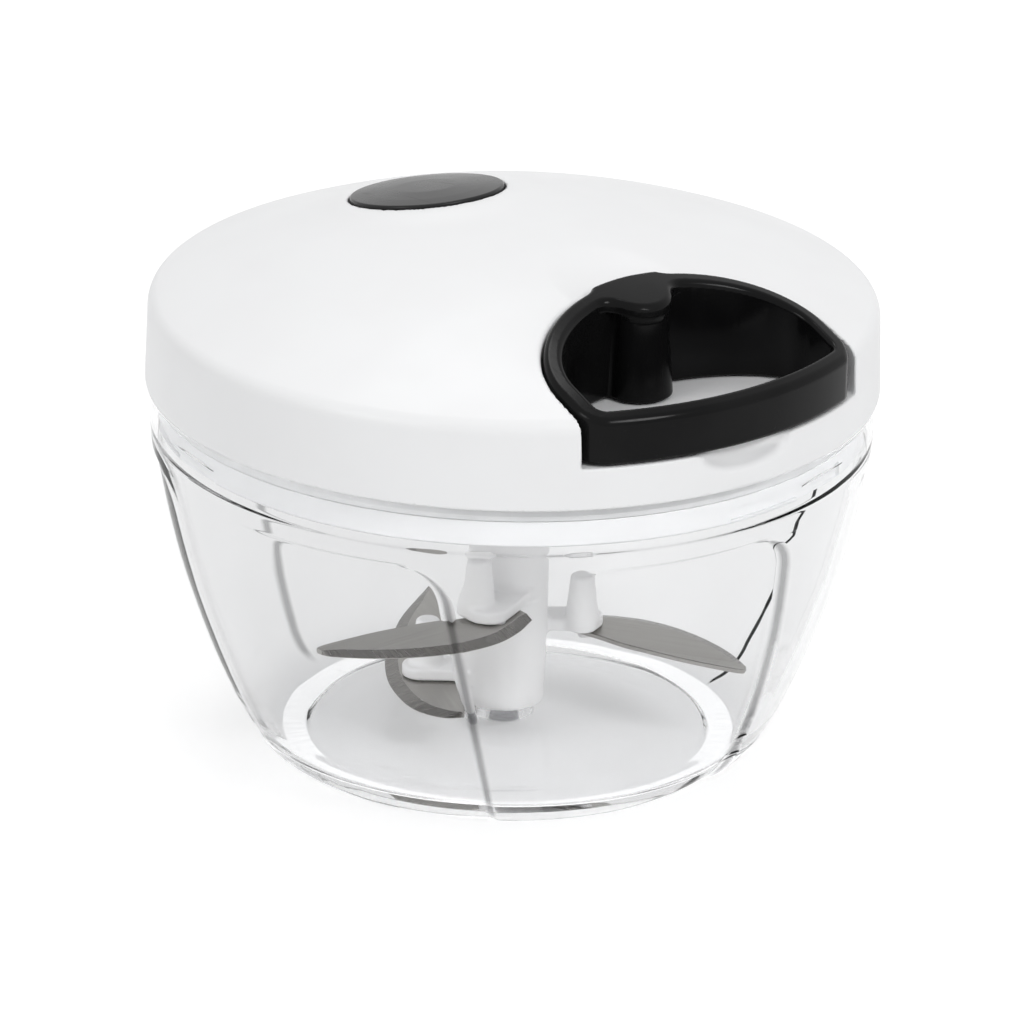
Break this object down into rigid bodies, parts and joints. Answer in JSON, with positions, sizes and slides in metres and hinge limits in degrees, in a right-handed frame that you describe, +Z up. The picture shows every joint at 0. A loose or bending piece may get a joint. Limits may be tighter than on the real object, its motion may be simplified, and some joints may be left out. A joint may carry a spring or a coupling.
{
  "type": "manual food chopper",
  "caption": "Pull-cord food chopper: a clear bowl with swirled panels, stacked curved blades on a spindle, and a domed lid with a pull handle.",
  "frame": {"origin": "middle of the bowl's foot, on the surface that it stands on", "axes": "+Z up; -Y the way the handle is pulled; +X to the right of somebody who looks along +Y at the handle"},
  "size_m": [0.125, 0.125, 0.0941],
  "materials": {
    "clear_plastic": "clear, glossy",
    "white_plastic": "satin",
    "black_gloss": "glossy",
    "disc_black": "satin gloss",
    "blade_steel": "finely brushed",
    "bright_steel": "bright",
    "spring_steel": "blued strip",
    "natural_plastic": "matt",
    "silicone": "matt",
    "cord": "braided nylon"
  },
  "bodies": {
    "bowl": {"bowl": "clear_plastic", "pivot_pin": "bright_steel"},
    "blade_unit": {"spindle": "white_plastic", "blade_upper": "blade_steel", "blade_middle": "blade_steel", "blade_lower": "blade_steel"},
    "seal": {"lid_seal": "silicone"},
    "lid": {"lid_cover": "white_plastic", "lid_base": "white_plastic", "lid_screw_1": "bright_steel", "lid_screw_2": "bright_steel", "lid_screw_3": "bright_steel", "lid_screw_4": "bright_steel", "top_disc": "disc_black", "cord_eyelet": "bright_steel", "cord_run": "cord", "drum_axle": "bright_steel", "axle_washer": "bright_steel", "axle_screw": "bright_steel"},
    "drum": {"cord_drum": "natural_plastic", "drive_socket": "natural_plastic", "cord_winding": "cord", "rewind_spring": "spring_steel", "spring_cover": "natural_plastic"},
    "handle": {"handle": "black_gloss", "cord_lead": "cord", "cord_knot": "cord"}
  },
  "joints": [
    {"name": "lid_lift", "type": "slide", "parent": "bowl", "child": "seal", "axis": [0, 0, 1], "range_m": [0, 0.06]},
    {"name": "lid_turn", "type": "hinge", "parent": "seal", "child": "lid", "pos_m": [0, 0, 0.065], "axis": [0, 0, 1], "range_deg": [0, 15]},
    {"name": "handle_pull", "type": "slide", "parent": "lid", "child": "handle", "axis": [0, -1, 0], "range_m": [0, 0.4], "stiffness_N_per_m": 8, "springref_m": -0.05},
    {"name": "drum_spin", "type": "hinge", "parent": "lid", "child": "drum", "pos_m": [0, 0, 0.0789], "axis": [0, 0, 1], "range_deg": [-5, 1125]},
    {"name": "blade_spin", "type": "hinge", "parent": "bowl", "child": "blade_unit", "pos_m": [0, 0, 0.0059], "axis": [0, 0, 1], "range_deg": [-5, 1125]}
  ],
  "couplings": [
    {"joint": "drum_spin", "follows": "handle_pull", "rad_per_m": 48.664},
    {"joint": "blade_spin", "follows": "handle_pull", "rad_per_m": 48.664}
  ]
}
